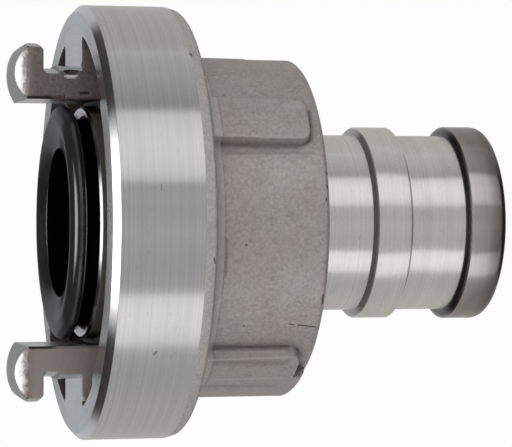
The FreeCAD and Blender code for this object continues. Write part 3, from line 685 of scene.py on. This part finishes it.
# %% The rules that sort the faces of the head
FINISHES = {"band": ring_metal, "face": face_metal, "bore": shaded_bore_metal, "body": body_skin,
            "cone": cone_skin, "lug": lug_skin, "hub": shaded_hub_skin, "nose": nose_skin,
            "bevel": bevel_skin}
LUG_HALF, LUG_REACH = 6.0, 23.5
SCOOP_RADIUS, ARM_RADIUS = 17.0, 19.45
HUB_RADIUS, BORE_RADIUS = 14.75, 14.6
BAND_RADIUS, BAND_DEPTH = 26.0, 11.1
CHANNEL_RADIUS, LIP_RADIUS, CHANNEL_DEPTH = 19.0, 21.0, 3.7
HUB_DEPTH, CONE_DEPTH, CONE_RADIUS = 9.6, 12.6, 24.0


def finish_on_lug(radius, outward, rise, normal):
    """The finish of a face of a lug, so many millimetres above the ring's face."""
    side = abs(normal.y)
    in_scoop = SCOOP_RADIUS < radius < ARM_RADIUS and 0.3 < rise < 3.4
    if in_scoop and side < 0.3 and abs(normal.z) > 0.1:
        return "lug"
    if outward > 0.9 and radius > ARM_RADIUS - 0.2:
        return "face"
    if side < 0.2 and normal.z > 0.3:
        return "nose"
    if side > 0.3 and normal.z > 0.6:
        return "bevel"
    upright_corner = side > 0.6 and abs(normal.x) > 0.6 and abs(normal.z) < 0.01
    if side > 0.98 or upright_corner:
        return "lug"
    if 0.05 < side < 0.9 and radius > ARM_RADIUS - 1.5:
        return "bevel"
    return "face"


def finish_of_face(centre, normal):
    """The name of the finish of a face of the head."""
    radius = math.hypot(centre.x, centre.y) / MM
    below = FACE - centre.z / MM
    outward = (normal.x * centre.x + normal.y * centre.y) / (radius * MM)
    if below < -0.02:
        return finish_on_lug(radius, outward, -below, normal)
    on_lug_side = abs(normal.y) > 0.98 and abs(abs(centre.y) / MM - LUG_HALF) < 0.01
    if on_lug_side and radius < LUG_REACH:
        return "lug"
    if radius > BAND_RADIUS and below < BAND_DEPTH:
        return "band" if below > 0.02 else "face"
    turned_lip = normal.z > 0.25 or (outward < -0.97 and radius < LIP_RADIUS)
    if radius > CHANNEL_RADIUS and below < CHANNEL_DEPTH and turned_lip:
        return "face"
    if below < 1.1 and radius < HUB_RADIUS and abs(outward) < 0.8:
        return "face"
    if radius < BORE_RADIUS and below > 0.9:
        return "bore"
    if below < HUB_DEPTH:
        return "hub"
    return "cone" if below < CONE_DEPTH and radius > CONE_RADIUS else "body"


# %% Sorting the faces
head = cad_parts["coupling_head"]
head.data.materials.clear()
for finish in FINISHES.values():
    head.data.materials.append(finish)
names = list(FINISHES)
counts = dict.fromkeys(names, 0)
for polygon in head.data.polygons:
    name = finish_of_face(polygon.center, polygon.normal)
    polygon.material_index = names.index(name)
    counts[name] += 1
print("head faces by finish:", counts)

# %% [markdown]
# ## The snap ring
# The ring of square spring wire sits in its groove inside the head, and only its gap could ever
# be seen. Its CAD mesh is as good as a new one, so it only gets its finish.

# %% Snap ring
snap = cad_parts["snap_ring"]
snap.data.materials.clear()
snap.data.materials.append(steel)
print("snap ring dressed")

# %% [markdown]
# ## Turning a new mesh
# The hose tail and the seal are round all the way, so each is drawn as half a cross section and
# spun once round the axis, as a lathe or a round mould would make it. The drawing starts as a
# circle of corners, which are put in their places; then the corners that are soft on the real
# piece are bevelled, and the outline is spun. The CAD meshes have sharp edges, and the real edges
# are broken.


# %% Turned pieces
def choose_corners(piece, corners):
    """Selects the vertices that stand on the given corners."""
    bpy.ops.mesh.select_all(action="DESELECT")
    bpy.ops.object.mode_set(mode="OBJECT")
    for vertex in piece.data.vertices:
        for radius, up, _ in corners:
            if (vertex.co - Vector((radius * MM, 0, up * MM))).length < 1e-7:
                vertex.select = True
    bpy.ops.object.mode_set(mode="EDIT")


def spun(name, corners, steps=128, segments=5):
    """A closed outline of (radius, height, rounding) in millimetres, spun once round the axis."""
    bpy.ops.object.select_all(action="DESELECT")
    bpy.ops.mesh.primitive_circle_add(vertices=len(corners), radius=0.01, location=(0, 0, 0))
    piece = bpy.context.object
    piece.name = name
    for vertex, (radius, up, _) in zip(piece.data.vertices, corners):
        vertex.co = (radius * MM, 0, up * MM)
    bpy.ops.object.mode_set(mode="EDIT")
    bpy.ops.mesh.select_mode(type="VERT")
    for rounding in sorted({corner[2] for corner in corners if corner[2] > 0}):
        choose_corners(piece, [corner for corner in corners if corner[2] == rounding])
        bpy.ops.mesh.bevel(offset=rounding * MM, segments=segments, affect="VERTICES")
    bpy.ops.mesh.select_all(action="SELECT")
    bpy.ops.mesh.spin(steps=steps, angle=2 * math.pi, center=(0, 0, 0), axis=(0, 0, 1))
    bpy.ops.mesh.select_all(action="SELECT")
    bpy.ops.mesh.remove_doubles(threshold=1e-6)
    bpy.ops.mesh.normals_make_consistent(inside=False)
    bpy.ops.object.mode_set(mode="OBJECT")
    bpy.ops.object.shade_smooth_by_angle(angle=math.radians(35))
    print(name, "has", len(piece.data.polygons), "faces")
    return piece


# %% [markdown]
# ## The hose tail
# Only the two ridges and the necks between them stand out of the head, and the hose is pushed
# over them. The ridges have a slope on the side that faces the head, a sharp step behind, and the
# end is well rounded so that the hose slides on. The hidden part inside the head has the collar
# that runs against the snap ring, the guide and the socket of the seal.

# %% Hose tail
TAIL = [
    (10.90, 52.30, 0), (10.90, 51.30, 0), (11.70, 51.30, 0), (11.70, 48.70, 0), (9.50, 48.70, 0.1),
    (9.50, 0.40, 0.1), (9.90, 0.00, 0.1), (12.58, 0.00, 1.25), (12.58, 4.85, 0.12),
    (11.37, 5.10, 0.12), (11.37, 12.80, 0.06), (12.42, 12.80, 0.14), (12.42, 17.15, 0.16),
    (11.37, 17.50, 0.12), (11.37, 26.90, 0), (12.40, 26.90, 0), (12.70, 27.20, 0),
    (12.70, 29.30, 0), (12.35, 29.60, 0), (12.35, 33.00, 0), (12.70, 33.30, 0), (12.70, 35.90, 0),
    (13.50, 35.90, 0), (13.50, 40.90, 0), (12.85, 40.90, 0), (12.85, 52.00, 0), (12.55, 52.30, 0),
]
tail = spun("turned_hose_tail", TAIL)
tail.data.materials.append(tail_metal)
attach(tail, "tail")
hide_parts("hose_tail")

# %% [markdown]
# ## The seal
# The seal is what presses against the other coupling. Its front is a shallow dish that falls from
# a soft crest to the bore, its outer edge is well rounded, and behind the flange a neck leaves a
# dark gap above the hub. A bead holds it in the socket of the tail.

# %% Sealing ring
SEAL = [
    (9.15, 55.75, 0.45), (9.15, 48.75, 0), (11.65, 48.75, 0), (11.65, 51.25, 0), (10.85, 51.25, 0),
    (10.85, 52.30, 0), (13.10, 52.30, 0), (13.10, 54.65, 0.25), (14.45, 54.70, 0.06),
    (14.45, 54.92, 0.06), (14.80, 55.22, 0.12), (14.80, 56.03, 0.66), (13.00, 56.65, 0.45),
    (11.00, 56.25, 0.5),
]
FLANGE_BACK = 54.69
SEAL_BORE = 9.42
seal = spun("moulded_sealing_ring", SEAL, segments=8)
seal.data.materials.append(rubber)
seal.data.materials.append(shaded_rubber)
# Painted shade: the faces in the bore and behind the flange take the near black rubber.
for polygon in seal.data.polygons:
    reach = math.hypot(polygon.center.x, polygon.center.y) / MM
    if polygon.center.z < FLANGE_BACK * MM or reach < SEAL_BORE:
        polygon.material_index = 1
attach(seal, "tail")
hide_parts("sealing_ring")

# %% [markdown]
# ## The studio
# Metal shows what stands round it, so the room is part of the finish. This is a white room with
# two soft lamps and grey screens. To the front the screens leave two gaps, and the white that
# shows through them makes the two bright bands on every turned surface. Behind the object the
# screens stand in tiers, the ceiling is dark above them, and a bright window in its middle
# whitens the chamfer of the ring and the bevels of the lugs. The screens could be meshes, but
# they are far away and only their reflections count, so they are drawn in the world, for
# reflections alone.

# %% Screens round the object
SCREENS = [
    (-180, 0.45), (-100, 0.45), (-84, 0.44), (-72, 0.50), (-68.5, 0.62), (-65.5, 0.90), (-57, 1.0),
    (-42, 0.98), (-38.5, 0.90), (-36.0, 0.47), (-20, 0.45), (-5, 0.50), (6, 0.45), (14, 0.48),
    (20.0, 0.42), (22.0, 0.74), (28, 0.86), (42, 0.92), (56, 0.84), (59.0, 0.78), (61.5, 0.34),
    (70, 0.38), (82, 0.46), (97, 0.50), (100, 0.62), (102.5, 0.50), (120, 0.46), (180, 0.44),
]
WARM_GREY, COOL_GREY = (0.48, 0.47, 0.45), (0.56, 0.58, 0.595)
TIERS = [(-90, WARM_GREY), (-5, WARM_GREY), (-1, COOL_GREY), (90, COOL_GREY)]
FLOOR_SHADE = (0.07, 0.065, 0.06)
CEILING = (0.05, 0.045, 0.045)
WINDOW = (1.8, 1.8, 1.8)
WINDOW_MIDDLE = (5.5, 5.5, 5.5)
PLAIN_LIGHT = 0.55


def seen_rays(owner):
    """1 for rays of the camera, of gloss and through glass, and 0 for the rest."""
    rays = node(owner, "ShaderNodeLightPath").outputs
    seen = math_node(owner, "MAXIMUM", rays["Is Camera Ray"], rays["Is Glossy Ray"])
    return math_node(owner, "MAXIMUM", seen, rays["Is Transmission Ray"])


def screens_and_tiers(world, azimuth, lift):
    """The greys round the object: upright screens in front and level tiers behind."""
    around = ramp(world, spread(world, azimuth, -180.0, 180.0, 0.0, 1.0),
                  [((degrees + 180.0) / 360.0, grey) for degrees, grey in SCREENS])
    tiers = ramp(world, spread(world, lift, -90.0, 90.0, 0.0, 1.0),
                 [((degrees + 90.0) / 180.0, grey) for degrees, grey in TIERS])
    behind = spread(world, size_of(world, azimuth), 100.0, 112.0, 0.0, 1.0)
    return blend_colour(world, behind, around, tiers)


def build_room():
    """A world that is white to the camera, and shows the screens to reflections."""
    world = bpy.data.worlds.new("white_room")
    bpy.context.scene.world = world
    world.use_nodes = True
    background = next(n for n in world.node_tree.nodes if n.type == "BACKGROUND")
    parts = axes(world, node(world, "ShaderNodeTexCoord").outputs["Generated"])
    towards = times(world, parts[1], -1.0)
    azimuth = math_node(world, "DEGREES", math_node(world, "ARCTAN2", parts[0], towards))
    lift = math_node(world, "DEGREES", math_node(world, "ARCSINE", parts[2]))
    central = spread(world, size_of(world, parts[0]), 0.41, 0.50, 1.0, 0.0)
    window = times(world, spread(world, lift, 57.0, 60.5, 0.0, 1.0), central)
    colour = screens_and_tiers(world, azimuth, lift)
    colour = blend_colour(world, spread(world, lift, -62.0, -46.0, 1.0, 0.0), colour, FLOOR_SHADE)
    colour = blend_colour(world, spread(world, lift, 20.0, 27.0, 0.0, 1.0), colour, CEILING)
    colour = blend_colour(world, window, colour, WINDOW)
    middle = spread(world, lift, 66.5, 70.0, 0.0, 1.0)
    colour = blend_colour(world, middle, colour, WINDOW_MIDDLE)
    glossy = node(world, "ShaderNodeLightPath").outputs["Is Glossy Ray"]
    colour = blend_colour(world, glossy, (1.0, 1.0, 1.0), colour)
    strength = spread(world, seen_rays(world), 0.0, 1.0, PLAIN_LIGHT, 1.0)
    world.node_tree.links.new(colour, background.inputs["Color"])
    world.node_tree.links.new(strength, background.inputs["Strength"])
    print("room with", len(SCREENS), "stops of the screens and", len(TIERS), "of the tiers")


build_room()

# %% [markdown]
# ## The floor
# The floor is white paper. To the camera nearly all of it glows white, so it melts into the room,
# and the small rest is lit by the lamps and keeps a soft shadow. It is only a stage and not a
# piece.

# %% Floor
GLOW_SHARE = 0.965


def pale_floor():
    """White paper. The camera sees it near white, and it keeps a soft shadow of the object."""
    bpy.ops.object.select_all(action="DESELECT")
    bpy.ops.mesh.primitive_circle_add(vertices=96, radius=2.5, fill_type="TRIFAN",
                                      location=(0, 0, 0))
    floor = bpy.context.object
    floor.name = "floor"
    material = new_material("white_paper")
    paper = node(material, "ShaderNodeBsdfDiffuse", {"Color": (0.82, 0.82, 0.82, 1.0)})
    glow = node(material, "ShaderNodeEmission", {"Color": (1.0, 1.0, 1.0, 1.0), "Strength": 1.0})
    share = times(material, seen_rays(material), GLOW_SHARE)
    mixed = node(material, "ShaderNodeMixShader",
                 {0: share, 1: paper.outputs[0], 2: glow.outputs[0]})
    tie_to_output(material, mixed.outputs[0])
    floor.data.materials.append(material)
    floor.visible_glossy = False


pale_floor()
print("floor ready")

# %% [markdown]
# ## The lamps
# Two soft boxes stand beside the camera, one towards the top of the picture and a weaker one
# below. They only light what is matte: the screens have the say in the reflections.

# %% Lamps
LAMP_DISTANCE = 0.34
AIM = Vector((0, 0, 0.035))


def soft_lamp(name, azimuth, up, wide, tall, radiance):
    """A soft box that points at the object. Azimuth 0 is towards the camera and 90 is the top of
    the picture. Radiance 1 renders as white."""
    data = bpy.data.lights.new(name, "AREA")
    data.shape = "RECTANGLE"
    data.size, data.size_y = wide, tall
    data.energy = radiance * math.pi * wide * tall
    lamp = bpy.data.objects.new(name, data)
    bpy.context.scene.collection.objects.link(lamp)
    turn = math.radians(azimuth)
    lamp.location = (LAMP_DISTANCE * math.sin(turn), -LAMP_DISTANCE * math.cos(turn), up)
    lamp.rotation_mode = "QUATERNION"
    lamp.rotation_quaternion = (AIM - lamp.location).to_track_quat("-Z", "Y")
    lamp.visible_glossy = False


soft_lamp("lamp_above", 30, 0.10, 0.22, 0.30, 1.65)
soft_lamp("lamp_below", -40, 0.10, 0.19, 0.30, 1.0)
print("two lamps ready")

# %% [markdown]
# ## The camera
# The photograph was taken from the side and a little in front, with the axis lying level. Here
# the axis stands up, so the camera is rolled: the top of the picture is +X. Its place and its
# focal length were fitted to the outlines of the ring, the body and the tail.

# %% Camera
VIEW_ANGLE = math.radians(14.25)
PICTURE_WIDTH = 512.0
FOCAL_LENGTH = 2435.0
SENSOR_WIDTH = 36.0
camera_data = bpy.data.cameras.new("camera")
camera = bpy.data.objects.new("camera", camera_data)
bpy.context.scene.collection.objects.link(camera)
bpy.context.scene.camera = camera
camera_data.sensor_fit = "HORIZONTAL"
camera_data.sensor_width = SENSOR_WIDTH
camera_data.lens = FOCAL_LENGTH / PICTURE_WIDTH * SENSOR_WIDTH
camera_data.shift_y = -1.0 / PICTURE_WIDTH
camera_data.clip_start, camera_data.clip_end = 0.01, 20.0
camera.location = (0.0, -0.30515, 0.1075)
backward = Vector((0.0, -math.cos(VIEW_ANGLE), math.sin(VIEW_ANGLE)))
right = Vector((0.0, -math.sin(VIEW_ANGLE), -math.cos(VIEW_ANGLE)))
up = backward.cross(right)
rows = [(right[i], up[i], backward[i]) for i in range(3)]
camera.rotation_mode = "QUATERNION"
camera.rotation_quaternion = Matrix(rows).to_quaternion()
print("camera up:", [round(v, 3) for v in up])

# %% [markdown]
# ## Settings
# The picture is shown as it is lit, without a film look.

bpy.context.scene.view_settings.view_transform = "Standard"
